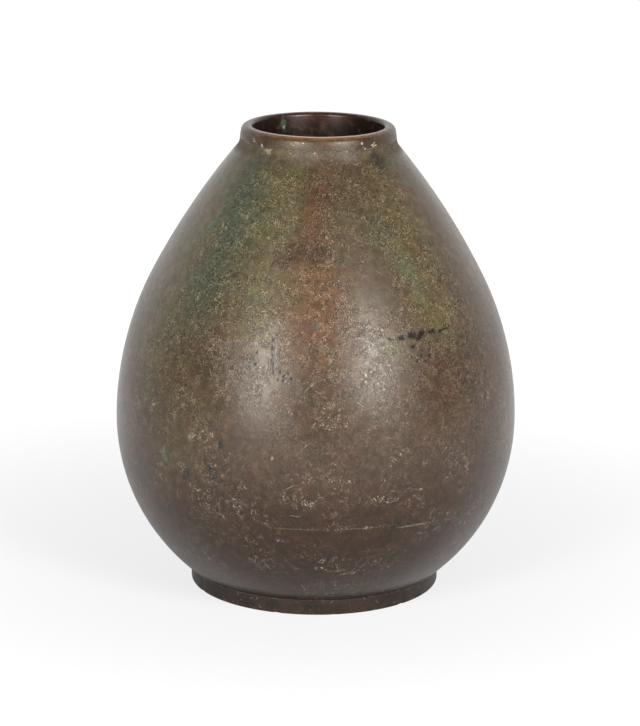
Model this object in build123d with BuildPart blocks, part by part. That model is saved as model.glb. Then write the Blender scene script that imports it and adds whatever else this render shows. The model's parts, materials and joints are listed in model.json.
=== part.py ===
from build123d import *
import math
import os

# A cast bronze vase with a soldered mouth collar, foot ring and base plate.
# It stands on z = 0 with its axis on Z. Sizes are in millimetres, angles in degrees.

# Body
vessel_height = 211.0
belly_radius = 90.6
belly_height = 77.0
body_wall = 2.6

# Neck of the body, which holds the collar's spigot
neck_wall = 2.8
neck_slope = 39.5
cove_radius = 6.0

# Mouth collar
mouth_radius = 29.4
collar_height = 5.7
lip_taper = 0.8
lip_outer_round = 2.4
lip_inner_round = 1.6
spigot_wall = 2.6
spigot_length = 6.6

# Foot ring
foot_radius = 56.6
foot_height = 7.3
foot_wall = 5.4
foot_edge_break = 0.8

# Floor of the body and the plate let into it from below
tenon_depth = 2.0
floor_land = 5.0
ledge_width = 3.8
ledge_thickness = 2.0
plate_thickness = 2.4

# Hard solder
solder_gap = 0.2
solder_bead = 0.6

# Radii that follow, from the mouth outwards and from the foot inwards
spigot_radius = mouth_radius + spigot_wall
neck_seat_radius = spigot_radius + solder_gap
neck_radius = neck_seat_radius + neck_wall
lip_radius = neck_radius - lip_taper
foot_seat_radius = foot_radius + solder_bead
foot_bore_radius = foot_radius - foot_wall
tenon_radius = foot_bore_radius - solder_gap
rebate_radius = tenon_radius - floor_land
plate_radius = rebate_radius - solder_gap
core_opening_radius = rebate_radius - ledge_width

# Heights that follow, from the lip downwards and from the foot upwards
collar_seam = vessel_height - collar_height
body_top = collar_seam - solder_gap
spigot_end = collar_seam - spigot_length
foot_ring_top = foot_height - solder_gap
underside = foot_height - tenon_depth
plate_top = underside + plate_thickness
rebate_top = plate_top + solder_gap
floor_top = rebate_top + ledge_thickness


def arc_meeting(start, leaving, end, arriving):
    """Point where two arcs meet smoothly, one leaving start and one arriving at end, with equal tangents."""
    chord = end - start
    directions = leaving + arriving
    squared = directions.dot(directions) - 4
    linear = -2 * chord.dot(directions)
    root = math.sqrt(linear**2 - 4 * squared * chord.dot(chord))
    tangent_length = (-linear - root) / (2 * squared)
    return (start + end + (leaving - arriving) * tangent_length) / 2


os.makedirs("parts", exist_ok=True)

# Body shell: a round bowl up to the belly, two long shoulder arcs, and a small cove under the collar
with BuildPart() as body_shell:
    lean = math.radians(neck_slope)
    upright = Vector(0, 1)
    up_the_slope = Vector(-math.sin(lean), math.cos(lean))
    seat_edge = Vector(foot_seat_radius, foot_height)
    belly = Vector(belly_radius, belly_height)
    neck_edge = Vector(neck_radius, body_top)
    cove_foot = neck_edge + Vector(1 - math.cos(lean), -math.sin(lean)) * cove_radius
    shoulder = arc_meeting(belly, upright, cove_foot, up_the_slope)
    with BuildSketch(Plane.XZ) as pear:
        with BuildLine():
            TangentArc(belly, seat_edge, tangent=-upright)
            upper_belly = TangentArc(belly, shoulder, tangent=upright)
            TangentArc(shoulder, cove_foot, tangent=upper_belly % 1)
            TangentArc(cove_foot, neck_edge, tangent=up_the_slope)
            Polyline(neck_edge, (0, body_top), (0, foot_height), seat_edge)
        make_face()
    revolve(axis=Axis.Z)

    # The cavity keeps the wall even, between a thick floor and a thick land round the neck
    with BuildSketch(Plane.XZ):
        add(pear.sketch)
        mirror(about=Plane.YZ)
        offset(amount=-body_wall)
        with Locations((0, floor_top)):
            Rectangle(
                2 * belly_radius,
                spigot_end - floor_top,
                align=(Align.CENTER, Align.MIN),
                mode=Mode.INTERSECT,
            )
        split(bisect_by=Plane.YZ)
    revolve(axis=Axis.Z, mode=Mode.SUBTRACT)

    # The neck is bored for the spigot
    with Locations((0, 0, body_top)):
        Hole(neck_seat_radius, depth=spigot_length + body_wall)

    # A tenon under the floor centres the foot ring
    with BuildSketch(Plane.XY.offset(underside)):
        Circle(tenon_radius)
    extrude(amount=tenon_depth)

    # The casting core came out through the floor, which is rebated from below for the plate
    with Locations(Plane((0, 0, underside), z_dir=(0, 0, -1))):
        CounterBoreHole(
            core_opening_radius,
            rebate_radius,
            plate_thickness + solder_gap,
            depth=floor_top - underside + body_wall,
        )

body_shell.part.label = "body_shell"
export_step(body_shell.part, "parts/body_shell.step")

# Rim collar: a tapered, well rounded lip, with a spigot that drops into the neck
with BuildPart() as rim_collar:
    with BuildSketch(Plane.XZ):
        with BuildLine():
            Polyline(
                (mouth_radius, spigot_end),
                (spigot_radius, spigot_end),
                (spigot_radius, collar_seam),
                (neck_radius, collar_seam),
                (lip_radius, vessel_height),
                (mouth_radius, vessel_height),
                close=True,
            )
        make_face()
    revolve(axis=Axis.Z)
    outer_lip_edge = rim_collar.edges().group_by(Axis.Z)[-1].sort_by(SortBy.RADIUS)[-1]
    fillet(outer_lip_edge, lip_outer_round)
    inner_lip_edge = rim_collar.edges().group_by(Axis.Z)[-1].sort_by(SortBy.RADIUS)[0]
    fillet(inner_lip_edge, lip_inner_round)

rim_collar.part.label = "rim_collar"
export_step(rim_collar.part, "parts/rim_collar.step")

# Foot ring: turned, with its lower edges broken and its upper outer edge cut back to hold the solder
with BuildPart() as foot_ring:
    with BuildSketch():
        Circle(foot_radius)
        Circle(foot_bore_radius, mode=Mode.SUBTRACT)
    extrude(amount=foot_ring_top)
    chamfer(foot_ring.edges().group_by(Axis.Z)[0], foot_edge_break)
    upper_outer_edge = foot_ring.edges().group_by(Axis.Z)[-1].sort_by(SortBy.RADIUS)[-1]
    chamfer(upper_outer_edge, solder_bead - solder_gap)

foot_ring.part.label = "foot_ring"
export_step(foot_ring.part, "parts/foot_ring.step")

# Base plate: the disc that closes the core opening
with BuildPart() as base_plate:
    with BuildSketch(Plane.XY.offset(underside)):
        Circle(plate_radius)
    extrude(amount=plate_thickness)

base_plate.part.label = "base_plate"
export_step(base_plate.part, "parts/base_plate.step")

# Rim solder seam: fills the gap round the spigot and under the collar
with BuildPart() as rim_solder_seam:
    with BuildSketch(Plane.XZ):
        with BuildLine():
            Polyline(
                (spigot_radius, spigot_end),
                (neck_seat_radius, spigot_end),
                (neck_seat_radius, body_top),
                (neck_radius, body_top),
                (neck_radius, collar_seam),
                (spigot_radius, collar_seam),
                close=True,
            )
        make_face()
    revolve(axis=Axis.Z)

rim_solder_seam.part.label = "rim_solder_seam"
export_step(rim_solder_seam.part, "parts/rim_solder_seam.step")

# Foot solder seam: fills the gap on the foot ring and ends in a sloping bead under the body's edge
with BuildPart() as foot_solder_seam:
    with BuildSketch(Plane.XZ):
        with BuildLine():
            Polyline(
                seat_edge,
                (tenon_radius, foot_height),
                (tenon_radius, underside),
                (foot_bore_radius, underside),
                (foot_bore_radius, foot_ring_top),
                (foot_radius - solder_bead + solder_gap, foot_ring_top),
                (foot_radius, foot_height - solder_bead),
                close=True,
            )
        make_face()
    revolve(axis=Axis.Z)

foot_solder_seam.part.label = "foot_solder_seam"
export_step(foot_solder_seam.part, "parts/foot_solder_seam.step")

# Base solder seam: seals the plate in its rebate and stands in a low ridge on the underside
with BuildPart() as base_solder_seam:
    bead_middle = (plate_radius + rebate_radius) / 2
    with BuildSketch(Plane.XZ):
        with BuildLine():
            Polyline(
                (plate_radius, underside),
                (plate_radius, plate_top),
                (core_opening_radius, plate_top),
                (core_opening_radius, rebate_top),
                (rebate_radius, rebate_top),
                (rebate_radius, underside),
                (bead_middle + solder_bead, underside),
                (bead_middle, underside - solder_bead / 2),
                (bead_middle - solder_bead, underside),
                close=True,
            )
        make_face()
    revolve(axis=Axis.Z)

base_solder_seam.part.label = "base_solder_seam"
export_step(base_solder_seam.part, "parts/base_solder_seam.step")
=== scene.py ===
# %% [markdown]
# # A patinated bronze vase
#
# The vase is a cast shell. A turned ring is soldered on at each end, and a plate is let into the
# floor. The working model gives the place and size of every piece, so it is loaded first and never
# touched. Each piece is then modelled again, finer, in the same place, and takes over from it.

# %% Load the working model as a fixed frame
import json
import math
from collections import namedtuple

import bmesh
import bpy
from mathutils import Matrix, Vector, kdtree, noise


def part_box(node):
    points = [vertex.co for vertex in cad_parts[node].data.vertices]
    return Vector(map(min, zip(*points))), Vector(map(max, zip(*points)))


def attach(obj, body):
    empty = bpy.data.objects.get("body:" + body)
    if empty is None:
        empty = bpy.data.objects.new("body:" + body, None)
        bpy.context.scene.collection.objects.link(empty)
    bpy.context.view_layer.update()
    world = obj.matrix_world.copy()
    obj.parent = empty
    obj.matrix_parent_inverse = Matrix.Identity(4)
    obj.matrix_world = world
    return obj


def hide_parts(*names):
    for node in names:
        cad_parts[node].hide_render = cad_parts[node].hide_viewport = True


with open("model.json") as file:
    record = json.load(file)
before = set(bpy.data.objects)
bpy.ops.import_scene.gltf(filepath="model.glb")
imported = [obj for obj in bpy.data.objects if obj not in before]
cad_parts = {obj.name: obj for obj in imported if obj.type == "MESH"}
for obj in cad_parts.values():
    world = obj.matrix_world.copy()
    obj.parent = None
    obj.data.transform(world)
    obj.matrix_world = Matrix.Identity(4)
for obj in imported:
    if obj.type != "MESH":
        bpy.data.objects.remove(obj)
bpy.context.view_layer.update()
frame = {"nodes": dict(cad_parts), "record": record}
MM = 0.001
print("nodes:", sorted(frame["nodes"]))

# %% [markdown]
# ## Camera
#
# A long lens from a little over a metre away looks down at the vase, so its mouth shows as a flat
# ellipse. Placing the camera by eye is slow. Here the focal length and the place came from fitting
# the outline, the mouth and the foot of the photographed vase, and stay plain numbers.

# %% Place the camera
image_height = 726
focal_pixels = 3033.5
sensor = 36.0
eye = Vector((0, -1332, 453.3)) * MM
pitch_down = math.radians(14.81)
yaw = math.radians(0.074)
roll = math.radians(0.576)

camera_data = bpy.data.cameras.new("camera")
camera_data.sensor_fit = "VERTICAL"
camera_data.sensor_height = sensor
camera_data.lens = focal_pixels * sensor / image_height
camera = bpy.data.objects.new("camera", camera_data)
bpy.context.scene.collection.objects.link(camera)
looking = Matrix.Rotation(-yaw, 4, "Z") @ Matrix.Rotation(math.pi / 2 - pitch_down, 4, "X")
camera.matrix_world = Matrix.Translation(eye) @ looking @ Matrix.Rotation(roll, 4, "Z")
bpy.context.scene.camera = camera
print("lens in mm:", round(camera_data.lens, 2))

# %% [markdown]
# ## Adding nodes
#
# Every finish below is a tree of nodes. One small function adds a node, sets its properties and
# feeds its inputs, so that a tree reads as a list of steps. Inputs are named, or listed where their
# order is plain: a MapRange takes a value, the range it has and the range it gets. Colours are hex
# values, turned to the linear values that the renderer works in. Every colour is laid over the one
# before it, where its masks meet.

# %% Node and colour helpers
SOFT = {"interpolation_type": "SMOOTHSTEP"}


def feed(tree, node, inputs):
    """Sets the inputs of a node, or links them where another node or one of its outputs is given."""
    for name, value in inputs.items() if isinstance(inputs, dict) else enumerate(inputs):
        if isinstance(value, bpy.types.Node):
            value = next(output for output in value.outputs if output.enabled)
        if isinstance(value, bpy.types.NodeSocket):
            tree.links.new(value, node.inputs[name])
        else:
            node.inputs[name].default_value = value


def add(tree, kind, inputs=(), operation=None, **settings):
    """Adds a node, sets its operation and other properties, and feeds its inputs."""
    node = tree.nodes.new("ShaderNode" + kind)
    if operation:
        settings["operation"] = operation
    for name, value in settings.items():
        setattr(node, name, value)
    feed(tree, node, inputs)
    return node


def linear(hex_colour):
    """A colour such as "#7a5c40" as linear red, green, blue and alpha."""
    shares = [int(hex_colour[i:i + 2], 16) / 255 for i in (1, 3, 5)]
    return [s / 12.92 if s <= 0.04045 else ((s + 0.055) / 1.055) ** 2.4 for s in shares] + [1.0]


def meet(tree, *masks):
    """Mask of the places where all the masks meet."""
    common = masks[0]
    for mask in masks[1:]:
        common = add(tree, "Math", [common, mask], "MULTIPLY")
    return common


def paint(tree, under, over, *masks):
    """Lays one colour over another where all the masks meet. Colours are hex values or nodes."""
    under, over = [linear(colour) if isinstance(colour, str) else colour for colour in (under, over)]
    return add(tree, "Mix", {0: meet(tree, *masks), 6: under, 7: over}, data_type="RGBA")


# %% [markdown]
# ## Studio
#
# The vase stands in a white tent that is open towards the camera. The white sides show as pale
# bands along its outline, the dark opening as a dark band down its middle, and two tall soft boxes
# beside the camera as soft highlights. The camera itself sees a plain white background. The paper
# floor glows away from the vase and is overexposed to the camera, so it runs into the background and
# keeps a soft shadow.

# %% Floor, world and soft boxes
floor_size = 6.0
tent_white = 1.4
tent_top = 0.85
tent_front = 0.15
vase_middle = Vector((0, 0, 0.12))

scene = bpy.context.scene
scene.view_settings.view_transform = "Standard"

floor_mesh = bpy.data.meshes.new("studio_floor")
bm = bmesh.new()
bmesh.ops.create_grid(bm, x_segments=4, y_segments=4, size=floor_size / 2)
bm.to_mesh(floor_mesh)
bm.free()
floor = bpy.data.objects.new("studio_floor", floor_mesh)
scene.collection.objects.link(floor)

paper = bpy.data.materials.new("matt_white_paper")
paper.use_nodes = True
tree = paper.node_tree
shader = tree.nodes["Principled BSDF"]
on_floor = add(tree, "TexCoord").outputs["Object"]
mottle = add(tree, "TexNoise", {"Vector": on_floor, "Scale": 9.0, "Detail": 3.0})
from_vase = add(tree, "VectorMath", [on_floor], "LENGTH")
glow = add(tree, "MapRange", [from_vase, 0.08, 0.40, 0.0, 0.58], **SOFT)
matt_paper = {
    "Base Color": paint(tree, "#cecece", "#d4d4d4", mottle),
    "Roughness": 0.9,
    "Specular IOR Level": 0.1,
    "Emission Color": (1, 1, 1, 1),
    "Emission Strength": glow,
}
feed(tree, shader, matt_paper)
white = add(tree, "Math", [glow, 0.2, 0.92], "MULTIPLY_ADD")
overexposed = add(tree, "Emission", {"Strength": white})
to_camera = add(tree, "LightPath").outputs["Is Camera Ray"]
shown = add(tree, "MixShader", [meet(tree, to_camera, 0.8), shader, overexposed])
feed(tree, tree.nodes["Material Output"], {"Surface": shown})
floor_mesh.materials.append(paper)

world = bpy.data.worlds.new("white_tent")
scene.world = world
world.use_nodes = True
tree = world.node_tree
direction = add(tree, "SeparateXYZ", [add(tree, "TexCoord").outputs["Generated"]])
front_to_back = [direction.outputs["Y"], -0.12, 0.55, tent_front, tent_white]
front = add(tree, "MapRange", front_to_back, **SOFT)
side_to_top = [direction.outputs["Z"], 0.45, 0.95, 1.0, tent_top / tent_white]
top = add(tree, "MapRange", side_to_top, **SOFT)
seen = add(tree, "LightPath").outputs["Is Camera Ray"]
level = add(tree, "Mix", {0: seen, 2: meet(tree, front, top), 3: 1.0}, data_type="FLOAT")
feed(tree, tree.nodes["Background"], {"Color": (1, 1, 1, 1), "Strength": level})


def soft_box(name, azimuth, elevation, distance, width, height, power):
    """A tall soft light aimed at the vase. Azimuth is counted from the camera's side towards +X."""
    data = bpy.data.lights.new(name, "AREA")
    data.shape = "RECTANGLE"
    data.size = width
    data.size_y = height
    data.energy = power
    light = bpy.data.objects.new(name, data)
    scene.collection.objects.link(light)
    turn = math.radians(azimuth)
    rise = math.radians(elevation)
    away = Vector((math.sin(turn) * math.cos(rise), -math.cos(turn) * math.cos(rise), math.sin(rise)))
    pose = away.to_track_quat("Z", "Y").to_matrix().to_4x4()
    light.matrix_world = Matrix.Translation(vase_middle + away * distance) @ pose
    light.visible_camera = False


soft_box("soft_box_left", azimuth=-30, elevation=17, distance=1.1, width=0.32, height=0.62, power=18)
soft_box("soft_box_right", azimuth=35, elevation=21, distance=1.1, width=0.34, height=0.54, power=20)
print("lights:", [o.name for o in scene.objects if o.type == "LIGHT"])

# %% [markdown]
# ## Outline of the cast body
#
# The body is one casting: a round bowl up to the belly, two long arcs over the shoulder, and a
# small cove under the mouth collar. A subdivided curve would only come near it. Here one vertex is
# swung about the centre of each arc in turn, up the outer side, down the inner side and round the
# floor, which draws the outline exactly.

# %% Sizes of the body
body_low, body_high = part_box("body_shell")
collar_low, collar_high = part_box("rim_collar")
foot_low, foot_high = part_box("foot_ring")
plate_low, plate_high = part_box("base_plate")
rim_seam_low, rim_seam_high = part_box("rim_solder_seam")
foot_seam_low, foot_seam_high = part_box("foot_solder_seam")
base_seam_low, base_seam_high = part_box("base_solder_seam")

belly_height = 77.0 * MM
body_wall = 2.6 * MM
neck_wall = 2.8 * MM
neck_slope = math.radians(39.5)
cove_radius = 6.0 * MM
ledge_width = 3.8 * MM
ledge_thickness = 2.0 * MM
floor_land = 5.0 * MM
solder_gap = rim_seam_high.z - body_high.z
neck_seat_radius = collar_high.x - neck_wall
rebate_radius = plate_high.x + solder_gap
core_opening_radius = rebate_radius - ledge_width
tenon_radius = rebate_radius + floor_land
rebate_top = base_seam_high.z
floor_top = rebate_top + ledge_thickness

upright = Vector((0, 1))
up_the_slope = Vector((-math.sin(neck_slope), math.cos(neck_slope)))
seat_edge = Vector((foot_seam_high.x, foot_seam_high.z))
belly = Vector((body_high.x, belly_height))
neck_edge = Vector((collar_high.x, body_high.z))
cove_foot = neck_edge + Vector((1 - math.cos(neck_slope), -math.sin(neck_slope))) * cove_radius


def arc_meeting(start, leaving, end, arriving):
    """Point where two arcs meet smoothly, one leaving start and one arriving at end."""
    chord = end - start
    directions = leaving + arriving
    squared = directions.length_squared - 4
    linear_term = -2 * chord.dot(directions)
    root = math.sqrt(linear_term**2 - 4 * squared * chord.length_squared)
    tangent_length = (-linear_term - root) / (2 * squared)
    return (start + end + (leaving - arriving) * tangent_length) / 2


def arc_centre(start, leaving, end):
    """Centre of the arc that leaves start in the direction leaving and passes through end."""
    chord = end - start
    across = Vector((-leaving.y, leaving.x))
    return start + across * chord.length_squared / (2 * chord.dot(across))


shoulder = arc_meeting(belly, upright, cove_foot, up_the_slope)
bowl_centre = arc_centre(belly, -upright, seat_edge)
upper_centre = arc_centre(belly, upright, shoulder)
slope_centre = arc_centre(cove_foot, -up_the_slope, shoulder)
cove_centre = arc_centre(cove_foot, up_the_slope, neck_edge)
print("shoulder point in mm:", [round(c / MM, 2) for c in shoulder])


def wall_radius(height):
    """Radius of the body's outer side at a height."""
    if height < belly.y:
        centre, rim = bowl_centre, belly
    elif height < shoulder.y:
        centre, rim = upper_centre, belly
    else:
        centre, rim = slope_centre, shoulder
    return centre.x + math.sqrt((rim - centre).length_squared - (height - centre.y) ** 2)


# %% [markdown]
# ## Marks on the body
#
# The vase is old, and what happened to it sits in known places: a gash and a crack, pits, scuffs
# and crusts. Each mark is an ellipse on the wall, given by its azimuth from the front, its height,
# its half sizes and its tilt, in degrees and millimetres. The same marks press the mesh and colour
# the finish, so shape and stain lie together. Scuffs only colour it.

# %% Marks
Mark = namedtuple("Mark", "azimuth height across up tilt", defaults=[0])


def marks(*rows):
    """Marks from rows of azimuth, height, half sizes and, where it isn't 0, tilt."""
    return [Mark(*row) for row in rows]


GASH = marks(
    (23.6, 131.6, 1.9, 0.5, -8), (27.8, 131.5, 2.4, 1, 6), (31.2, 131.9, 2.7, 1.5, -4),
    (33.2, 130.4, 1.8, 0.8, 10), (34.8, 131.8, 2.6, 1.6, 5), (38.4, 132.2, 2.3, 1, -6),
    (41.6, 131.6, 1.8, 0.6, 8), (44.6, 132.1, 1.6, 0.5),
)
CRACK = marks(
    (-13.3, 132.2, 0.7, 1.7), (-13.2, 128.6, 0.65, 1.8, -4), (-12.8, 125.2, 0.7, 1.9, 4),
    (-12.4, 121.6, 0.6, 1.8, 2), (-12.1, 118.4, 0.65, 1.5, 4),
)
PITS = marks(
    (29.8, 123, 0.6, 0.5), (31.5, 121.4, 0.9, 0.6, 20), (33.2, 123.4, 0.6, 0.7),
    (34.4, 120.8, 0.7, 0.6, -10), (36.2, 122.4, 0.8, 1), (38.6, 124.6, 0.5, 0.5),
    (31, 127.4, 1.6, 0.5, 5), (-10.2, 118.9, 0.6, 0.5), (-9, 117.4, 0.8, 0.5, 20),
    (-7.8, 118.3, 0.5, 0.5), (-9.2, 115.3, 0.7, 0.5, -20), (-6.9, 116.3, 0.6, 0.5),
    (-10.7, 115.6, 0.5, 0.6), (-13.2, 113.7, 0.6, 0.5), (-18.3, 126.3, 0.6, 0.6),
    (-18.5, 121.4, 0.8, 0.7, 30),
)
GREEN_CRUSTS = marks(
    (0.6, 138, 1.5, 1), (-46.8, 77.6, 0.9, 1.8, -10), (-46, 74.2, 1, 1.8, 10),
    (-53.6, 172.5, 1.3, 2.4, -30), (-52, 177.5, 0.7, 1.8, -25),
    (-12.2, 126.5, 0.35, 2.2, 2), (128, 92, 2.4, 1.8, 10), (131.5, 88.5, 1.2, 1.4),
    (-152, 118, 1.6, 2.6, -20),
)
DARK_CRUSTS = marks(
    (-38.4, 69.4, 2.2, 2.6), (-29.7, 74.4, 1.1, 2, 20), (-28.9, 71.2, 1.5, 1.7),
    (-26.7, 85.6, 1, 2.2, 10), (112, 64, 2, 2.4),
)
SCUFFS = marks(
    (-31.1, 124.3, 6, 3.2, -15), (-36, 58.8, 4, 4), (-31.4, 54, 3, 6.5, 30),
    (-21, 67.9, 5, 3), (-4.1, 74, 8, 3.2), (18.3, 62.9, 8, 3), (29.1, 65.1, 5, 1.8, 10),
    (31.5, 77.4, 2.4, 2.4), (5, 29, 9, 1.6), (-9.9, 43.7, 4, 1.5),
    (-40, 71.5, 3.5, 4.5), (-29.1, 75, 3.5, 5), (-33, 88, 9, 9), (9, 49.6, 26, 1),
    (-44, 92.8, 3, 5), (-52.8, 95.7, 2, 3.5), (-36.6, 87, 1.6, 1.6),
    (-27, 84.6, 2.4, 4), (-30.5, 69.8, 5, 5), (-26.3, 54.8, 7, 5), (-45, 142.8, 3, 4),
    (4, 99.5, 10, 8), (8, 73, 8, 4), (23.7, 82.5, 6, 6), (38.5, 90.3, 1.6, 3),
    (-4, 64, 12, 6), (5, 33.5, 10, 3), (-17.6, 31.7, 8, 4), (-33, 62, 8, 7),
    (-24, 58, 8, 6), (-40, 104, 7, 9), (-29, 111, 6, 7), (-48, 122, 5, 8),
    (12, 26, 12, 3), (95, 60, 9, 5, 10), (160, 80, 8, 6), (-140, 50, 10, 4),
    (-100, 90, 6, 8, 20),
)


def place(mark, radius=None):
    """A frame on the wall at a mark: X runs round the wall and Z up, in metres."""
    turn = math.radians(mark.azimuth)
    height = mark.height * MM
    radius = radius or wall_radius(height)
    spot = Vector((radius * math.sin(turn), -radius * math.cos(turn), height))
    tilted = Matrix.Rotation(turn, 4, "Z") @ Matrix.Rotation(math.radians(-mark.tilt), 4, "Y")
    return Matrix.Translation(spot) @ tilted


print("marks:", sum(len(kind) for kind in (GASH, CRACK, PITS, GREEN_CRUSTS, DARK_CRUSTS, SCUFFS)))

# %% [markdown]
# ## Tools of the lathe
#
# Every piece of the vase is turned, so a few small functions serve them all. They draw an outline
# with straight runs and with arcs, spin it round the axis, round its edges and lay a flat map on
# its wall. The last makes a smooth shaded piece of it that takes over from its node.

# %% Outline, spin and finish
turns = 360
merge_distance = 0.001 * MM
on_circle = 0.01 * MM


def run_to(bm, tip, radius, height):
    """Draws a straight edge from the tip of the outline to a new point."""
    tip = bmesh.ops.extrude_vert_indiv(bm, verts=[tip])["verts"][0]
    tip.co = (radius, 0, height)
    return tip


def swing_to(bm, tip, centre, end, steps):
    """Swings the tip of the outline about a centre until it faces end, and leaves an arc behind."""
    arm = Vector((tip.co.x, tip.co.z)) - centre
    swing = arm.angle_signed(end - centre)
    middle = (centre.x, 0, centre.y)
    made = bmesh.ops.spin(bm, geom=[tip], cent=middle, axis=(0, 1, 0), angle=swing, steps=steps)
    return next(part for part in made["geom_last"] if isinstance(part, bmesh.types.BMVert))


def spin_round(bm):
    """Spins an outline once round the axis and turns its faces outwards."""
    outline = bm.verts[:] + bm.edges[:]
    bmesh.ops.spin(
        bm, geom=outline, cent=(0, 0, 0), axis=(0, 0, 1), angle=2 * math.pi, steps=turns, use_merge=True
    )
    bmesh.ops.remove_doubles(bm, verts=bm.verts, dist=merge_distance)
    bmesh.ops.recalc_face_normals(bm, faces=bm.faces)


def turn_outline(*corners):
    """A solid of revolution from the corners of its outline, given as radius and height."""
    bm = bmesh.new()
    first = bm.verts.new((corners[0][0], 0, corners[0][1]))
    tip = first
    for radius, height in corners[1:]:
        tip = run_to(bm, tip, radius, height)
    bm.edges.new((tip, first))
    spin_round(bm)
    return bm


def round_edge(bm, radius, height, size, segments):
    """Rounds the edge that lies on one circle round the axis."""
    circle = []
    for edge in bm.edges:
        gaps = [math.hypot(vert.co.xy.length - radius, vert.co.z - height) for vert in edge.verts]
        if max(gaps) < on_circle:
            circle.append(edge)
    bmesh.ops.bevel(
        bm, geom=circle, offset=size, segments=segments, profile=0.5, affect="EDGES", material=-1
    )


def map_wall(bm, radius, radial_share):
    """A flat map in metres: round the wall, and up it, with a share of the way towards the axis."""
    wall_map = bm.loops.layers.uv.new("wall")
    for face in bm.faces:
        middle = face.calc_center_median()
        facing = math.atan2(middle.x, -middle.y)
        for loop in face.loops:
            point = loop.vert.co
            turn = math.atan2(point.x, -point.y)
            turn += 2 * math.pi * round((facing - turn) / (2 * math.pi))
            loop[wall_map].uv = (turn * radius, point.z - radial_share * point.xy.length)


def finish_piece(bm, name, node, crease=40):
    """Turns a bmesh into a smooth shaded piece that stands for a node of the working model."""
    for face in bm.faces:
        face.smooth = True
    for edge in bm.edges:
        if len(edge.link_faces) == 2 and edge.calc_face_angle() > math.radians(crease):
            edge.smooth = False
    mesh = bpy.data.meshes.new(name)
    bm.to_mesh(mesh)
    bm.free()
    piece = bpy.data.objects.new(name, mesh)
    scene.collection.objects.link(piece)
    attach(piece, "root")
    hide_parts(node)
    triangles = sum(len(polygon.vertices) - 2 for polygon in mesh.polygons)
    print(name, "triangles:", triangles)
    return piece


# %% [markdown]
# ## The cast body
#
# Spinning the outline once round the axis gives the whole casting, inside and out. Modelling it by
# box and subdivision would round the sharp seats that the collar and the foot ring need.

# %% Model the cast body
bm = bmesh.new()
first = bm.verts.new((seat_edge.x, 0, seat_edge.y))
tip = swing_to(bm, first, bowl_centre, belly, steps=58)
tip = swing_to(bm, tip, upper_centre, shoulder, steps=50)
tip = swing_to(bm, tip, slope_centre, cove_foot, steps=50)
tip = swing_to(bm, tip, cove_centre, neck_edge, steps=6)
tip = run_to(bm, tip, neck_seat_radius, body_high.z)
tip = run_to(bm, tip, neck_seat_radius, collar_low.z)
inner_slope = (shoulder - slope_centre).length - body_wall
ledge_radius = slope_centre.x + math.sqrt(inner_slope**2 - (collar_low.z - slope_centre.y) ** 2)
tip = run_to(bm, tip, ledge_radius, collar_low.z)
tip = swing_to(bm, tip, slope_centre, shoulder, steps=8)
tip = swing_to(bm, tip, upper_centre, belly, steps=8)
inner_bowl = (belly - bowl_centre).length - body_wall
floor_edge = bowl_centre.x + math.sqrt(inner_bowl**2 - (floor_top - bowl_centre.y) ** 2)
tip = swing_to(bm, tip, bowl_centre, Vector((floor_edge, floor_top)), steps=10)
for radius, height in (
    (core_opening_radius, floor_top),
    (core_opening_radius, rebate_top),
    (rebate_radius, rebate_top),
    (rebate_radius, body_low.z),
    (tenon_radius, body_low.z),
    (tenon_radius, seat_edge.y),
):
    tip = run_to(bm, tip, radius, height)
bm.edges.new((tip, first))
spin_round(bm)
print("body faces:", len(bm.faces))

# %% [markdown]
# ## Hand work and damage
#
# A casting that was scraped and polished by hand isn't quite true. Its outer side is moved by a
# fraction of a millimetre in long waves, which breaks the highlights as the real wall does. The
# marks get extra edges first, because a pit of one millimetre can't be pressed into wider faces. A
# bump in the material alone would leave the exported shape smooth. Each vertex also keeps how far it
# is scuffed or marked, for the finish to read.

# %% Press the marks into the wall
gash_rise = -0.20
pit_rise = -0.30
crust_rise = 0.12
pressed = {mark: gash_rise for mark in GASH + CRACK}
pressed.update({mark: pit_rise for mark in PITS})
pressed.update({mark: crust_rise for mark in GREEN_CRUSTS + DARK_CRUSTS})
mark_margin = 1.3
waves = [(34 * MM, 0.10 * MM), (11 * MM, 0.025 * MM)]
wave_fade = 6 * MM
ragged_size = 0.9 * MM
ragged_middle = 0.8
ragged_swing = 0.5
mark_halo = 1.4
scuffed = bm.verts.layers.float.new("scuffed")
marked = bm.verts.layers.float.new("marked")


def outer_side():
    """The vertices of the outer side, where the normal points away from the axis."""
    found = []
    for vert in bm.verts:
        outwards = vert.normal.xy.dot(vert.co.xy) > 0.1 * vert.co.xy.length
        if outwards and seat_edge.y < vert.co.z < cove_foot.y:
            found.append(vert)
    return found


def near_marks(outer, kind):
    """For each mark, the vertices in and around it and how far out they lie, 1 at its edge."""
    lookup = kdtree.KDTree(len(outer))
    for index, vert in enumerate(outer):
        lookup.insert(vert.co, index)
    lookup.balance()
    for mark in kind:
        frame_there = place(mark)
        to_mark = frame_there.inverted()
        reach = (math.hypot(mark.across, mark.up) + mark_margin) * MM
        close = {}
        for spot, index, distance in lookup.find_range(frame_there.translation, reach):
            local = to_mark @ spot / MM
            close[outer[index]] = math.hypot(local.x / mark.across, local.z / mark.up)
        yield mark, close


bm.normal_update()
fine_edges = set()
for mark, close in near_marks(outer_side(), pressed):
    for vert in close:
        fine_edges.update(edge for edge in vert.link_edges if edge.other_vert(vert) in close)
bmesh.ops.subdivide_edges(bm, edges=list(fine_edges), cuts=2, use_grid_fill=True)
bm.normal_update()

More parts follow.
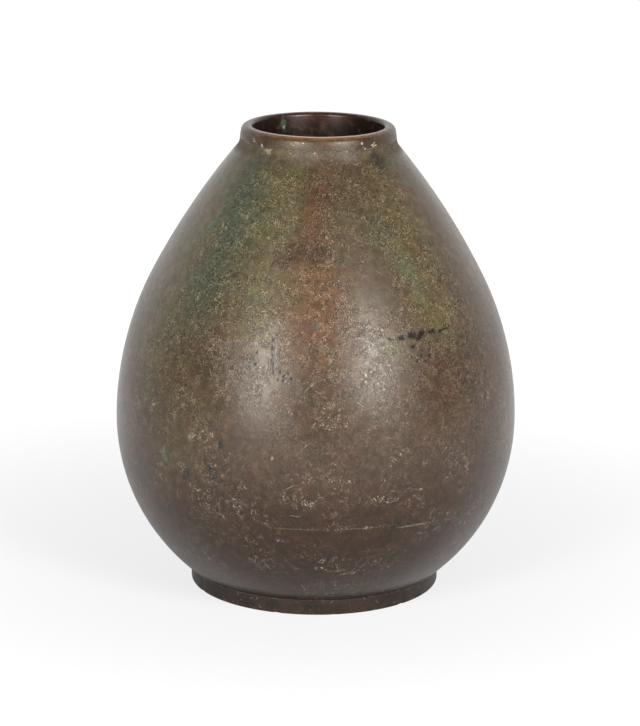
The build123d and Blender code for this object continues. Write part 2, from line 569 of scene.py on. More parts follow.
moves = {vert: 0.0 for vert in outer_side()}
for vert in moves:
    from_ends = min(vert.co.z - seat_edge.y, cove_foot.y - vert.co.z)
    for length, rise in waves:
        moves[vert] += rise * noise.noise(vert.co / length) * min(1, from_ends / wave_fade)
for mark, close in near_marks(list(moves), pressed):
    for vert, share in close.items():
        ragged = ragged_middle + ragged_swing * noise.noise(vert.co / ragged_size)
        moves[vert] += pressed[mark] * MM * max(0, 1 - share**2) * ragged
        vert[marked] = max(vert[marked], mark_halo - share)
for mark, close in near_marks(list(moves), SCUFFS):
    for vert, share in close.items():
        vert[scuffed] = max(vert[scuffed], 1 - share**2)
normals = {vert: vert.normal.copy() for vert in moves}
for vert, move in moves.items():
    vert.co += normals[vert] * move

map_wall(bm, belly.x, radial_share=0)
for face in bm.faces:
    middle = face.calc_center_median()
    face.material_index = int(face.normal.xy.dot(middle.xy) < 0 or middle.z < seat_edge.y)
body = finish_piece(bm, "cast_body", "body_shell")

# %% [markdown]
# ## Layers of an old bronze finish
#
# The colour of old bronze is a thin skin of oxides and wax over the metal. Up close it is a fur of
# fine curls and pores, crossed by thin scratches. An image would show them once, in one size. Here
# a few functions draw them from patterns: curls, patches, scratches, and stains at their marks.

# %% Curls and patches
def curls(tree, here, size, width):
    """Mask of thin meandering strokes, in millimetres, where a cloud pattern is at its middle."""
    meander = {"Detail": 1.5, "Roughness": 0.5, "Distortion": 1.2}
    cloud = add(tree, "TexNoise", {"Vector": here, "Scale": 1 / (size * MM), **meander})
    level = add(tree, "Math", [cloud, -0.5], "ADD")
    beside = add(tree, "Math", [level], "ABSOLUTE")
    edge = 0.5 * width / size
    return add(tree, "MapRange", [beside, edge, 0.2 * edge])


def patches(tree, here, size, low, high):
    """Mask of soft patches of about a size in millimetres, from none at low to full at high."""
    soft = {"Detail": 4.0, "Roughness": 0.6}
    cloud = add(tree, "TexNoise", {"Vector": here, "Scale": 1 / (size * MM), **soft})
    return add(tree, "MapRange", [cloud, low, high], **SOFT)


# %% Hairline scratches
def hairlines(tree, wall, spacing, width, length, share):
    """Mask of short scratches in millimetres, one in some cells of a pattern, each at its own angle."""
    scaled = add(tree, "VectorMath", {0: wall, "Scale": 1 / (spacing * MM)}, "SCALE")
    cells = add(tree, "TexVoronoi", {"Vector": scaled, "Scale": 1.0}, voronoi_dimensions="2D")
    chance = add(tree, "SeparateColor", [cells.outputs["Color"]])
    from_middle = add(tree, "VectorMath", [scaled, cells.outputs["Position"]], "SUBTRACT")
    turn = add(tree, "Math", [chance.outputs["Red"], math.pi], "MULTIPLY")
    turned = add(tree, "VectorRotate", {"Vector": from_middle, "Angle": turn}, rotation_type="Z_AXIS")
    along = add(tree, "SeparateXYZ", [turned])
    squared = add(tree, "Math", [along.outputs["X"], along.outputs["X"]], "MULTIPLY")
    bend = add(tree, "Math", [chance.outputs["Green"], -0.5], "ADD")
    bowed = add(tree, "Math", [squared, bend, along.outputs["Y"]], "MULTIPLY_ADD")
    beside = add(tree, "Math", [bowed], "ABSOLUTE")
    thin = add(tree, "MapRange", [beside, width / spacing, 0.3 * width / spacing])
    from_end = add(tree, "Math", [along.outputs["X"]], "ABSOLUTE")
    half = length / spacing / 2
    short = add(tree, "MapRange", [from_end, half, 0.4 * half])
    there = add(tree, "MapRange", [chance.outputs["Blue"], 1 - share, 1.0])
    return meet(tree, thin, short, there)


# %% Stains at their marks
Stain = namedtuple("Stain", "azimuth height across up colour strength soft tilt", defaults=[0])


def stains(*rows):
    """Stains from rows of place, half sizes, colour, strength, softness and tilt."""
    return [Stain(*row) for row in rows]


def mark_mask(tree, mark, place_on, ragged, soft, radius=None):
    """Mask of one mark: an ellipse on the wall with a soft and ragged edge."""
    there = place(mark, radius)
    deep = 2 * max(mark.across, mark.up)
    ellipse = {
        "Vector": place_on,
        "Location": there.translation,
        "Rotation": there.to_euler(),
        "Scale": Vector((mark.across, deep, mark.up)) * MM,
    }
    local = add(tree, "Mapping", ellipse, vector_type="TEXTURE")
    distance = add(tree, "VectorMath", [local], "LENGTH")
    torn = add(tree, "Math", [distance, ragged], "ADD")
    return add(tree, "MapRange", [torn, 1 + soft, 1 - soft], **SOFT)


def lay_stains(tree, colour, place_on, ragged, layers, radius=None):
    """Lays stains over a colour, one after the other."""
    for stain in layers:
        mask = mark_mask(tree, stain, place_on, ragged, stain.soft, radius)
        colour = paint(tree, colour, stain.colour, mask, stain.strength)
    return colour


# %% [markdown]
# ## Grain
#
# Up close the skin is a fur of pale worn strokes on a darker, browner ground. They change colour,
# gloss and height together. Real strokes are about a third of a millimetre wide. They are drawn
# coarser than that, because finer ones would vanish between pixels.

# %% Grain shared by every bronze piece
WORN = "#6a6453"
GROUND_SHADE = (0.55, 0.46, 0.26)
WORN_GAIN = 3.0
BUMP_HEIGHT = 0.03 * MM


def combed(tree, here):
    """Coordinates drawn out upwards and bent in slow waves, so a pattern on them lies like fur."""
    slow = add(tree, "TexNoise", {"Vector": here, "Scale": 1 / (26 * MM), "Detail": 1.0})
    bent = add(tree, "VectorMath", [slow.outputs["Color"], (10 * MM,) * 3, here], "MULTIPLY_ADD")
    return add(tree, "VectorMath", [bent, (1.0, 1.0, 0.75)], "MULTIPLY")


def grain_over(tree, colour, here, contrast, gloss):
    """Lays pale strokes on a darker ground, and drives the shader's colour, gloss and relief."""
    grit = patches(tree, here, size=0.5, low=0.55, high=0.67)
    hairs = curls(tree, here, size=1.4, width=0.10)
    fur = add(tree, "Math", [grit, hairs], "MAXIMUM")
    dark = add(tree, "VectorMath", [colour, GROUND_SHADE], "MULTIPLY")
    bright = add(tree, "VectorMath", {0: colour, "Scale": WORN_GAIN}, "SCALE")
    pale = paint(tree, bright, WORN, 0.5)
    furred = paint(tree, dark, pale, fur)
    swing = add(tree, "Math", [fur, -0.36, 0.20], "MULTIPLY_ADD")
    relief = meet(tree, fur, contrast)
    skin = {
        "Base Color": paint(tree, colour, furred, contrast),
        "Roughness": add(tree, "Math", [swing, contrast, gloss], "MULTIPLY_ADD"),
        "Normal": add(tree, "Bump", {"Strength": 0.5, "Distance": BUMP_HEIGHT, "Height": relief}),
        "Specular IOR Level": 0.25,
        "Specular Tint": (1.0, 0.97, 0.89, 1.0),
    }
    feed(tree, tree.nodes["Principled BSDF"], skin)


def start_finish(name, *pieces):
    """Puts a new material on some pieces. Returns its tree and the pieces' own coordinates."""
    material = bpy.data.materials.new(name)
    material.use_nodes = True
    for piece in pieces:
        piece.data.materials.append(material)
    tree = material.node_tree
    print("finish:", name)
    return tree, add(tree, "TexCoord").outputs["Object"]


# %% [markdown]
# ## Patina of the body
#
# The body is brown at the belly and darker towards the foot. Green salts made it olive and teal over
# the shoulder, and it is rust red where the skin is thin. The colours differ little, so they are
# laid softly and torn by noise at many sizes. Stains on the far side follow the same habit.

# %% Stains of the body
OLIVE = "#413d28"
TEAL = "#2d362d"
RUST = "#4b2d19"
GOLD = "#443b24"
RED = "#352216"
BLACK = "#0b0908"
SOOT = "#0e0f0b"
VERDIGRIS = "#3e4c42"
SLATE = "#171b1a"
BROWN = "#2c190a"
GREY_GREEN = "#464b39"
CREAM = "#878072"

broad_stains = stains(
    (-57, 165, 16, 36, "#433f2d", 0.8, 0.7, 5),
    (-38, 188, 11, 14, TEAL, 0.85, 0.7, 8),
    (-36, 172, 12, 14, TEAL, 0.85, 0.7, 8),
    (-42, 152, 13, 14, TEAL, 0.8, 0.7, 5),
    (-46, 135, 12, 13, TEAL, 0.5, 0.8, 5),
    (-58, 120, 14, 18, OLIVE, 0.6, 0.8),
    (-19, 178, 11, 28, OLIVE, 0.85, 0.7),
    (-18, 150, 18, 18, OLIVE, 0.8, 0.8),
    (22, 186, 13, 14, "#352a1a", 0.7, 0.8),
    (44, 168, 11, 30, GOLD, 0.8, 0.7),
    (42, 138, 12, 13, GOLD, 0.8, 0.7),
    (25, 175, 8, 8, "#343422", 0.6, 0.8),
    (-4, 174, 5, 14, RUST, 0.6, 1),
    (0, 143, 12, 18, RUST, 0.7, 1),
    (20, 150, 9, 12, "#3d3024", 0.8, 0.8),
    (36, 106, 16, 13, RED, 0.7, 0.8),
    (-42, 100, 18, 30, "#392f1e", 0.8, 0.8),
    (150, 170, 26, 30, OLIVE, 0.8, 0.7, 12),
    (-170, 145, 20, 36, TEAL, 0.7, 0.8),
    (-125, 165, 20, 30, GOLD, 0.7, 0.8, -15),
    (100, 145, 22, 30, RUST, 0.7, 0.8, 10),
    (-100, 110, 24, 26, RED, 0.6, 0.8),
)
fine_stains = stains(
    (45, 200.2, 3.2, 4.6, "#1b120c", 0.85, 0.4, 8),
    (-0.5, 189.2, 4.6, 4.2, "#39200f", 0.8, 0.9),
    (-9, 202.2, 6.5, 2.6, "#474036", 0.75, 0.6),
    (20, 202.2, 5.2, 2.8, "#494138", 0.75, 0.6),
    (-38.6, 203.9, 1.2, 1, CREAM, 0.8, 0.6),
    (24.4, 127.2, 5, 4.6, "#45432f", 0.6, 0.8, -15),
    (33, 164, 4.6, 5.6, GREY_GREEN, 0.4, 0.9, 5),
    (35.5, 157, 4.2, 5.6, GREY_GREEN, 0.4, 0.9, 8),
    (37.5, 149.5, 3.4, 5.6, GREY_GREEN, 0.4, 0.9),
    (-34, 117, 5, 5, "#20170e", 0.6, 0.9),
    (36.5, 108, 3, 2, "#33150e", 0.6, 0.6, 20),
    (41, 104, 2.4, 1.6, "#33150e", 0.5, 0.6),
    (-36.9, 86.5, 1.3, 1.1, "#555040", 0.8, 0.5),
    (-11.8, 82.2, 0.6, 1, "#726c60", 0.9, 0.4),
    (30, 48.2, 7, 0.3, CREAM, 0.35, 0.9),
    (14, 49.6, 8, 0.22, CREAM, 0.18, 0.9),
    (-6, 49.6, 9, 0.2, CREAM, 0.15, 0.9),
)
blotch_spread = 1.3
BLOTCHES = [
    (-13.3, 162.3, 3.6, 2), (-8.1, 165.6, 2.6, 1.8), (-5, 168, 2.2, 2.2), (-1.7, 165.4, 3.2, 1.4),
    (1.9, 167.4, 2.2, 1.4), (1.1, 162.7, 1.8, 1.6), (-11.3, 169, 1.6, 1.4),
]
for azimuth, height, across, up in BLOTCHES:
    sizes = (blotch_spread * across, blotch_spread * up)
    fine_stains.append(Stain(azimuth, height, *sizes, BROWN, 0.9, 1.0, tilt=20))
for kind, colour, strength in (
    (GASH, BLACK, 0.95),
    (CRACK + PITS, SOOT, 0.85),
    (GREEN_CRUSTS, VERDIGRIS, 0.8),
    (DARK_CRUSTS, SLATE, 0.95),
):
    for mark in kind:
        fine_stains.append(Stain(*mark[:4], colour, strength, 0.6, mark.tilt))
print("stains:", len(broad_stains) + len(fine_stains))

# %% Finish of the body
def patinated_body():
    """Cast bronze, polished, patinated and waxed: satin and mottled under a neutral sheen."""
    tree, here = start_finish("patinated_cast_bronze", body)
    wall = add(tree, "UVMap", uv_map="wall")

    # The skin grew in clouds, so the places of all stains wander, broadly and finely
    cloudy = {"Scale": 1 / (22 * MM), "Detail": 5.0, "Roughness": 0.6}
    crumbly = {"Scale": 1 / (4 * MM), "Detail": 5.0, "Roughness": 0.75}
    clouds = add(tree, "TexNoise", {"Vector": here, **cloudy})
    crumbs = add(tree, "TexNoise", {"Vector": here, **crumbly})
    specks = add(tree, "TexNoise", {"Vector": here, "Scale": 1 / (1.1 * MM), "Detail": 2.0})
    drift = [clouds.outputs["Color"], (22 * MM,) * 3, here]
    drifted = add(tree, "VectorMath", drift, "MULTIPLY_ADD")
    broad_place = add(tree, "VectorMath", [drifted, (11 * MM,) * 3], "SUBTRACT")
    torn = add(tree, "Math", [crumbs, 2.0, -1.0], "MULTIPLY_ADD")
    speckled = add(tree, "Math", [specks, 3.6, -1.8], "MULTIPLY_ADD")

    # Ground: brown at the belly, darker near the foot, greener over the shoulder
    height = add(tree, "SeparateXYZ", [broad_place]).outputs["Z"]
    low = add(tree, "MapRange", [height, 112 * MM, 20 * MM], **SOFT)
    to_shoulder = [height, 105 * MM, 165 * MM, 0.0, 0.7]
    high = add(tree, "MapRange", to_shoulder, **SOFT)
    colour = paint(tree, "#302118", "#3d2e24", clouds)
    colour = paint(tree, colour, "#251710", low)
    colour = paint(tree, colour, "#3b2e1e", high)
    colour = lay_stains(tree, colour, broad_place, torn, broad_stains)
    colour = lay_stains(tree, colour, here, speckled, fine_stains)

    # Blotches of a few millimetres, lighter and darker, redder and greener
    blotch = add(tree, "MapRange", [crumbs, 0.3, 0.7, 1.12, 0.48])
    colour = add(tree, "VectorMath", {0: colour, "Scale": blotch}, "SCALE")
    hazy = {"Scale": 1 / (9 * MM), "Detail": 4.0, "Roughness": 0.6}
    hues = add(tree, "TexNoise", {"Vector": here, **hazy}).outputs["Color"]
    tint = add(tree, "VectorMath", [hues, (0.6, 0.48, 0.55), (0.70, 0.76, 0.71)], "MULTIPLY_ADD")
    colour = add(tree, "VectorMath", [colour, tint], "MULTIPLY")

    # Scuffs: pale broken hairs, thick at their marks and thin elsewhere, and a few straight scratches
    rubbed = add(tree, "Attribute", attribute_name="scuffed").outputs["Fac"]
    uneven_rub = add(tree, "Math", [torn, -0.6, rubbed], "MULTIPLY_ADD")
    at_marks = add(tree, "MapRange", [uneven_rub, 0.05, 0.7])
    elsewhere = patches(tree, here, size=18.0, low=0.42, high=0.80)
    scuffed = add(tree, "Math", [at_marks, elsewhere], "MAXIMUM")
    broken = patches(tree, here, size=2.4, low=0.44, high=0.62)
    strokes = curls(tree, here, size=1.7, width=0.12)
    short_hairs = hairlines(tree, wall, spacing=2.3, width=0.16, length=3.0, share=0.7)
    hairs = add(tree, "Math", [strokes, short_hairs], "MAXIMUM")
    scuffs = meet(tree, hairs, broken, scuffed)
    straight = hairlines(tree, wall, spacing=9.0, width=0.14, length=6.0, share=0.15)
    scratches = add(tree, "Math", [scuffs, straight], "MAXIMUM")
    stronger_below = add(tree, "MapRange", [height, 140 * MM, 80 * MM, 0.45, 0.72])
    colour = paint(tree, colour, CREAM, scratches, stronger_below)

    # The fur is thickest over the shoulder, where the salts etched it, and rubbed off the sides by hands
    etched = add(tree, "MapRange", [height, 60 * MM, 140 * MM, 0.12, 1.0])
    true_place = add(tree, "SeparateXYZ", [here])
    true_height = true_place.outputs["Z"]
    level_place = add(tree, "CombineXYZ", [true_place.outputs["X"], true_place.outputs["Y"]])
    outwards = add(tree, "VectorMath", [level_place], "NORMALIZE")
    sideways = add(tree, "SeparateXYZ", [outwards]).outputs["X"]
    from_middle = add(tree, "Math", [sideways], "ABSOLUTE")
    handled = add(tree, "Math", [true_height, 2.0, from_middle], "MULTIPLY_ADD")
    unheld = add(tree, "MapRange", [handled, 1.20, 1.04, 0.35, 1.0], **SOFT)
    below_cove = add(tree, "MapRange", [true_height, 201 * MM, 196 * MM, 0.3, 1.0])
    marked = add(tree, "Attribute", attribute_name="marked").outputs["Fac"]
    off_marks = add(tree, "MapRange", [marked, 0.7, 0.1, 0.15, 1.0])
    clumps = patches(tree, here, size=5.0, low=0.34, high=0.60)
    clumped = add(tree, "Math", [clumps, 0.8, 0.3], "MULTIPLY_ADD")
    worn_smooth = mark_mask(tree, Mark(20, 156, 9, 11), broad_place, torn, 0.7)
    kept = add(tree, "Math", [worn_smooth, -0.7, 1.0], "MULTIPLY_ADD")
    contrast = meet(tree, etched, unheld, below_cove, off_marks, clumped, kept)
    gloss = add(tree, "MapRange", [true_height, 199 * MM, 202 * MM, 0.29, 0.62])
    grain_over(tree, colour, combed(tree, here), contrast, gloss)


patinated_body()

# %% [markdown]
# ## Inside of the body
#
# Nobody polishes the inside of a vase. It keeps the sandy skin of the casting core, dark with old
# water stains, so it gets a rough brown that swallows the light in the mouth.

# %% Finish of the inside
def raw_casting():
    """Bronze as it left the mould: sandy, matt and dark."""
    tree, here = start_finish("raw_cast_bronze", body)
    tide = patches(tree, here, size=14.0, low=0.3, high=0.7)
    colour = paint(tree, "#2a1b14", "#443224", tide)
    grain_over(tree, colour, here, contrast=0.3, gloss=0.6)


raw_casting()

# %% [markdown]
# ## The mouth collar
#
# The collar is a turned ring. Its spigot drops into the neck, and its lip is well rounded, outside
# more than inside. Rounding the edges after the spin keeps the outline to six corners. A few knocks
# on the lip are pressed in as on the body.

# %% Model the mouth collar
mouth = next(mount for mount in frame["record"]["mounts"] if mount["name"] == "mouth")
mouth_radius = mouth["dims"]["r_mm"] * MM
spigot_radius = neck_seat_radius - solder_gap
collar_seam = rim_seam_high.z
neck_radius = collar_high.x
lip_taper = 0.8 * MM
lip_radius = neck_radius - lip_taper
lip_top = collar_high.z
lip_outer_round = 2.4 * MM
lip_inner_round = 1.6 * MM
seam_edge_break = 0.15 * MM
lip_wave = 0.05 * MM
lip_wave_length = 9 * MM
knock_inset = 0.4 * MM

bm = turn_outline(
    (mouth_radius, collar_low.z),
    (spigot_radius, collar_low.z),
    (spigot_radius, collar_seam),
    (neck_radius, collar_seam),
    (lip_radius, lip_top),
    (mouth_radius, lip_top),
)
round_edge(bm, lip_radius, lip_top, lip_outer_round, segments=10)
round_edge(bm, mouth_radius, lip_top, lip_inner_round, segments=8)
round_edge(bm, neck_radius, collar_seam, seam_edge_break, segments=2)

LIP_KNOCKS = [(-94, 1.3, 0.45), (62, 1.0, 0.2), (-18, 0.8, 0.12), (141, 1.6, 0.3), (-160, 1.1, 0.2)]


def knock(bm, azimuth, radius, height, size, depth):
    """Presses a small round dent into a piece."""
    turn = math.radians(azimuth)
    spot = Vector((radius * math.sin(turn), -radius * math.cos(turn), height))
    for vert in bm.verts:
        share = (vert.co - spot).length / size
        if share < 1:
            vert.co -= vert.normal * depth * (1 - share**2)


bm.normal_update()
for vert in bm.verts:
    if vert.co.z > collar_seam + 2 * seam_edge_break:
        vert.co += vert.normal * lip_wave * noise.noise(vert.co / lip_wave_length)
for azimuth, size, depth in LIP_KNOCKS:
    knock(bm, azimuth, lip_radius - knock_inset, lip_top - knock_inset, size * MM, depth * MM)
collar = finish_piece(bm, "mouth_collar", "rim_collar")

# %% [markdown]
# ## Finish of the collar
#
# Hands hold a vase by its lip. The brown skin is rubbed thin at the front: pale metal shows on the
# crest, with a painted highlight on it, and a coppery line under it. Both are found from the radius
# and the height of a point.

# %% Stains of the collar
CRUMBS = [
    (-54.8, 207.6, 0.5), (-53.4, 207, 0.35), (-45.1, 205.9, 0.5), (-20.1, 208.1, 0.45),
    (-18.4, 207.5, 0.4), (-16.4, 208.9, 0.35), (-11.1, 208.8, 0.35), (33.3, 207.9, 0.55),
    (35.6, 205.6, 0.4), (41.8, 206.9, 0.4), (43.4, 206.6, 0.6), (44.8, 207.5, 0.45), (130, 207, 0.5),
    (-120, 206.4, 0.5),
]
collar_stains = stains(
    (-40, 206.8, 5.5, 3, "#1d130d", 0.6, 0.7),
    (-12, 206.5, 9, 2.6, "#3a3222", 0.7, 0.7),
    (20, 206.3, 5.5, 3.2, "#3f362e", 0.7, 0.7),
    (39, 207, 5.5, 3.2, "#211613", 0.7, 0.7),
    (120, 207, 9, 3, "#3a3222", 0.7, 0.7),
    (-135, 207, 9, 3, "#211613", 0.7, 0.7),
)
for azimuth, height, size in CRUMBS:
    collar_stains.append(Stain(azimuth, height, size, size, CREAM, 0.8, 0.5))
water_runs = stains(
    (-147, 206.5, 1.3, 2.6, "#39443a", 0.8, 0.6),
    (-148, 205.2, 0.6, 0.7, "#6b7a6c", 0.8, 0.6),
    (176, 204.6, 1.4, 2.4, "#3a2a26", 0.7, 0.7),
)
# Places at the sides of the bore where shade is painted
painted_shade_in_bore = marks((-118, 205, 17, 8), (124, 205, 17, 8))
print("stains on the collar:", len(collar_stains) + len(water_runs) + len(painted_shade_in_bore))


# %% Finish of the collar
def rubbed_collar():
    """Turned bronze, patinated and then rubbed by use: glossier than the body, bare at the edges, with a
    painted highlight on the front crest.
    """
    tree, here = start_finish("rubbed_turned_bronze", collar)
    parts = add(tree, "SeparateXYZ", [here])
    height = parts.outputs["Z"]
    flat = add(tree, "CombineXYZ", [parts.outputs["X"], parts.outputs["Y"]])
    radius = add(tree, "VectorMath", [flat], "LENGTH")
    clouds = patches(tree, here, size=6.0, low=0.35, high=0.65)
    specks = add(tree, "TexNoise", {"Vector": here, "Scale": 1 / (1.1 * MM), "Detail": 2.0})
    ragged = add(tree, "Math", [specks, 2.4, -1.2], "MULTIPLY_ADD")
    colour = paint(tree, "#261810", "#362618", clouds)
    colour = lay_stains(tree, colour, here, ragged, collar_stains, neck_radius)

    # The bore is a deep reddish brown, with runs where water stood. Shade is painted on it: darker below
    # and at the sides
    bore = add(tree, "MapRange", [radius, mouth_radius + 1.8 * MM, mouth_radius + 0.8 * MM])
    depth = add(tree, "MapRange", [height, lip_top - 3.0 * MM, lip_top - 7.0 * MM])
    mottled = patches(tree, here, size=3.0, low=0.52, high=0.66)
    colour = paint(tree, colour, "#28110a", bore)
    # Painted shade: darker deeper in the bore
    colour = paint(tree, colour, "#140b08", bore, depth)
    # Painted shade at the sides of the bore
    for mark in painted_shade_in_bore:
        shaded = mark_mask(tree, mark, here, ragged, 0.7, mouth_radius)
        colour = paint(tree, colour, "#0d0806", bore, shaded)
    colour = paint(tree, colour, "#311d16", bore, mottled)
    colour = lay_stains(tree, colour, here, ragged, water_runs, mouth_radius)

    # Coppery line of wear, and a pale crest at the front that is worn metal and a painted highlight
    rubbed = mark_mask(tree, Mark(2, 211, 24, 24), here, ragged, 0.6, lip_radius)
    broken = patches(tree, here, size=4.0, low=0.3, high=0.5)
    outside = add(tree, "MapRange", [radius, lip_radius - 2.6 * MM, lip_radius - 2.0 * MM])
    above_line = add(tree, "MapRange", [height, lip_top - 1.0 * MM, lip_top - 0.7 * MM])
    below_crest = add(tree, "MapRange", [height, lip_top - 0.15 * MM, lip_top - 0.3 * MM])
    crest_wear_and_highlight = add(tree, "MapRange", [height, lip_top - 0.2 * MM, lip_top - 0.05 * MM])
    colour = paint(tree, colour, "#5f381c", outside, above_line, below_crest, rubbed, broken)
    # Pale crest: worn metal with a painted highlight on it
    colour = paint(tree, colour, "#8f7a69", crest_wear_and_highlight, rubbed)
    contrast = add(tree, "MapRange", [bore, 0.0, 1.0, 0.4, 0.1])
    grain_over(tree, colour, here, contrast, gloss=0.32)


rubbed_collar()

# %% [markdown]
# ## The foot ring
#
# The foot ring is turned too. Its lower edges are broken, so it doesn't chip a table, and its
# upper outer edge is cut back to hold the solder. Years of standing and sliding knocked its rim.

# %% Model the foot ring
foot_radius = foot_high.x
foot_wall = 5.4 * MM
foot_edge_break = 0.8 * MM
foot_bore_radius = foot_radius - foot_wall
solder_cut = foot_seam_high.x - foot_radius - solder_gap
bm = turn_outline(
    (foot_bore_radius, foot_low.z),
    (foot_radius, foot_low.z),
    (foot_radius, foot_high.z - solder_cut),
    (foot_radius - solder_cut, foot_high.z),
    (foot_bore_radius, foot_high.z),
)
round_edge(bm, foot_radius, foot_low.z, foot_edge_break, segments=4)
round_edge(bm, foot_bore_radius, foot_low.z, foot_edge_break, segments=3)

FOOT_KNOCKS = [
    (-17, 2, 0.25), (9, 1.4, 0.2), (44, 1.8, 0.3), (-63, 1.5, 0.25), (118, 2.4, 0.3), (-140, 1.8, 0.25),
]
bm.normal_update()
for azimuth, size, depth in FOOT_KNOCKS:
    knock(bm, azimuth, foot_radius, foot_edge_break, size * MM, depth * MM)
map_wall(bm, foot_radius, radial_share=1)
foot = finish_piece(bm, "turned_foot", "foot_ring")

# %% Finish of the foot ring
def dark_foot():
    """Turned bronze in a thick dark patina, coppery at the lower edge and bare where it slid."""
    tree, here = start_finish("dark_turned_bronze", foot)
    wall = add(tree, "UVMap", uv_map="wall")
    clouds = patches(tree, here, size=10.0, low=0.3, high=0.7)
    height = add(tree, "SeparateXYZ", [here]).outputs["Z"]
    edge = add(tree, "MapRange", [height, 4.0 * MM, 0.5 * MM])
    rubbed = patches(tree, here, size=2.4, low=0.5, high=0.62)
    resting = add(tree, "MapRange", [height, 0.2 * MM, 0.05 * MM])
    slid = patches(tree, here, size=5.0, low=0.36, high=0.58)
    flecks = patches(tree, here, size=1.3, low=0.67, high=0.73)
    scratches = hairlines(tree, wall, spacing=3.2, width=0.16, length=2.4, share=0.3)
    pale = add(tree, "Math", [flecks, scratches], "MAXIMUM")
    colour = paint(tree, "#130d0b", "#221712", clouds)
    colour = paint(tree, colour, "#291c15", edge, rubbed)
    colour = paint(tree, colour, "#6a5037", resting, slid)
    colour = paint(tree, colour, CREAM, pale, 0.6)
    grain_over(tree, colour, here, contrast=0.1, gloss=0.4)


dark_foot()

# %% [markdown]
# ## The base plate
#
# The disc that closes the floor shows only from below, inside the foot ring. It was faced on a
# lathe, so fine grooves run round it about a centre mark. Each groove is three points of the
# outline, drawn by a loop.

# %% Model the base plate
plate_radius = plate_high.x
groove_pitch = 3.4 * MM
groove_width = 0.9 * MM
groove_depth = 0.12 * MM
centre_mark = 1.2 * MM

outline = [(0, plate_high.z), (plate_radius, plate_high.z), (plate_radius, plate_low.z)]
groove = plate_radius - groove_pitch
while groove > groove_pitch:
    outline += [
        (groove + groove_width / 2, plate_low.z),
        (groove, plate_low.z + groove_depth),
        (groove - groove_width / 2, plate_low.z),
    ]
    groove -= groove_pitch
outline += [(centre_mark, plate_low.z), (0, plate_low.z + centre_mark / 2)]
bm = turn_outline(*outline)
plate = finish_piece(bm, "bottom_plate", "base_plate", crease=60)

# %% Finish of the base plate
def stained_plate():
    """Faced bronze that was never patinated by hand: dull brown, with a green bloom of damp."""
    tree, here = start_finish("dull_faced_bronze", plate)
    clouds = patches(tree, here, size=12.0, low=0.3, high=0.7)
    bloom = patches(tree, here, size=5.0, low=0.56, high=0.7)
    colour = paint(tree, "#38291f", "#5a4432", clouds)
    colour = paint(tree, colour, "#56604c", bloom)
    grain_over(tree, colour, here, contrast=0.6, gloss=0.5)


stained_plate()

# %% [markdown]
# ## Solder
#
# Hard solder runs into the three gaps and stands in a bead where it cools. A bead run in by hand
# isn't even, so the beads swell and thin along their length. At the neck a few drops were pressed
# out under the collar and stayed as pale lumps.

# %% Model the solder seams
bead_swell = 0.16 * MM
bead_length = 5 * MM
bead_round = 0.5 * MM
drop_shape = Matrix.Diagonal((1.0, 0.4, 0.75, 1.0))
drop_lumps = 0.6 * MM
drop_swell = 0.5
cove_lean = 0.3


def uneven(bm, radius, height, reach):
    """Lets a bead swell and thin near one circle, by noise along its length."""
    bm.normal_update()
    for vert in bm.verts:
        gap = math.hypot(vert.co.xy.length - radius, vert.co.z - height)
        if gap < reach:
            vert.co += vert.normal * bead_swell * noise.noise(vert.co / bead_length)


DROPS = [
    (-53.9, 206.9, 0.45), (-51, 206.2, 0.35), (-44.4, 205.2, 0.55), (-38.4, 203.8, 0.85),
    (-36.8, 203.3, 0.5), (-20, 203.8, 0.45), (-2.3, 204.5, 0.4), (20.8, 205, 0.55), (33.8, 206.4, 0.5),
    (43.2, 205.9, 0.6), (45.6, 206.4, 0.5), (104, 205, 0.8), (-118, 204.6, 0.6), (163, 205.2, 0.7),
]

bm = turn_outline(
    (spigot_radius, collar_low.z),
    (neck_seat_radius, collar_low.z),
    (neck_seat_radius, body_high.z),
    (neck_radius, body_high.z),
    (neck_radius, collar_seam),
    (spigot_radius, collar_seam),
)
for azimuth, height, size in DROPS:
    beside = neck_radius + max(0, body_high.z - height * MM) * cove_lean
    where = place(Mark(azimuth, height, 0, 0), beside)
    drop = bmesh.ops.create_icosphere(bm, subdivisions=3, radius=size * MM, matrix=where @ drop_shape)
    for vert in drop["verts"]:
        away = vert.co - where.translation
        vert.co += away * drop_swell * noise.noise(vert.co / drop_lumps)
        for face in vert.link_faces:
            face.material_index = 1
rim_solder = finish_piece(bm, "rim_solder", "rim_solder_seam")

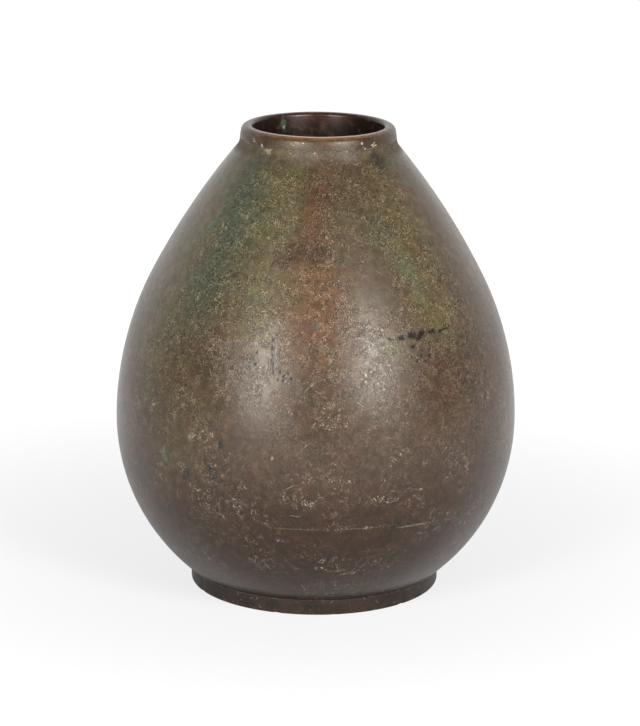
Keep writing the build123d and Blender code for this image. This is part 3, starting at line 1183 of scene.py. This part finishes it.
foot_seat_radius = foot_seam_high.x
foot_bead = foot_seat_radius - foot_radius
bm = turn_outline(
    (foot_seat_radius, foot_seam_high.z),
    (tenon_radius, foot_seam_high.z),
    (tenon_radius, foot_seam_low.z),
    (foot_bore_radius, foot_seam_low.z),
    (foot_bore_radius, foot_high.z),
    (foot_radius - solder_cut, foot_high.z),
    (foot_radius, foot_seam_high.z - foot_bead),
)
slope_edges = []
for edge in bm.edges:
    start, end = [vert.co for vert in edge.verts]
    if abs(start.z - end.z) > foot_bead / 2 and start.xy.length > foot_radius - 0.1 * MM:
        slope_edges.append(edge)
bmesh.ops.subdivide_edges(bm, edges=slope_edges, cuts=3, use_grid_fill=True)
uneven(bm, foot_radius + foot_bead / 2, foot_seam_high.z - foot_bead / 2, 0.6 * foot_bead)
foot_solder = finish_piece(bm, "foot_solder", "foot_solder_seam")

bead_middle = (plate_radius + rebate_radius) / 2
bead_half = base_seam_high.x - bead_middle
bm = turn_outline(
    (plate_radius, plate_low.z),
    (plate_radius, plate_high.z),
    (core_opening_radius, plate_high.z),
    (core_opening_radius, rebate_top),
    (rebate_radius, rebate_top),
    (rebate_radius, plate_low.z),
    (bead_middle + bead_half, plate_low.z),
    (bead_middle, base_seam_low.z),
    (bead_middle - bead_half, plate_low.z),
)
round_edge(bm, bead_middle, base_seam_low.z, bead_round, segments=4)
uneven(bm, bead_middle, base_seam_low.z, 0.7 * bead_half)
base_solder = finish_piece(bm, "base_solder", "base_solder_seam")


# %% Finish of the solder
def cooled_solder(name, dark, pale, *seams):
    """Hard solder, cooled in air, never polished: matt, dirty, and pale where dirt fell off."""
    tree, here = start_finish(name, *seams)
    clean = patches(tree, here, size=2.0, low=0.5, high=0.64)
    grain_over(tree, paint(tree, dark, pale, clean), here, contrast=0.6, gloss=0.5)


all_seams = (rim_solder, foot_solder, base_solder)
cooled_solder("patinated_hard_solder", "#372b23", "#544839", *all_seams)
cooled_solder("bare_hard_solder", "#605540", "#837a63", rim_solder)
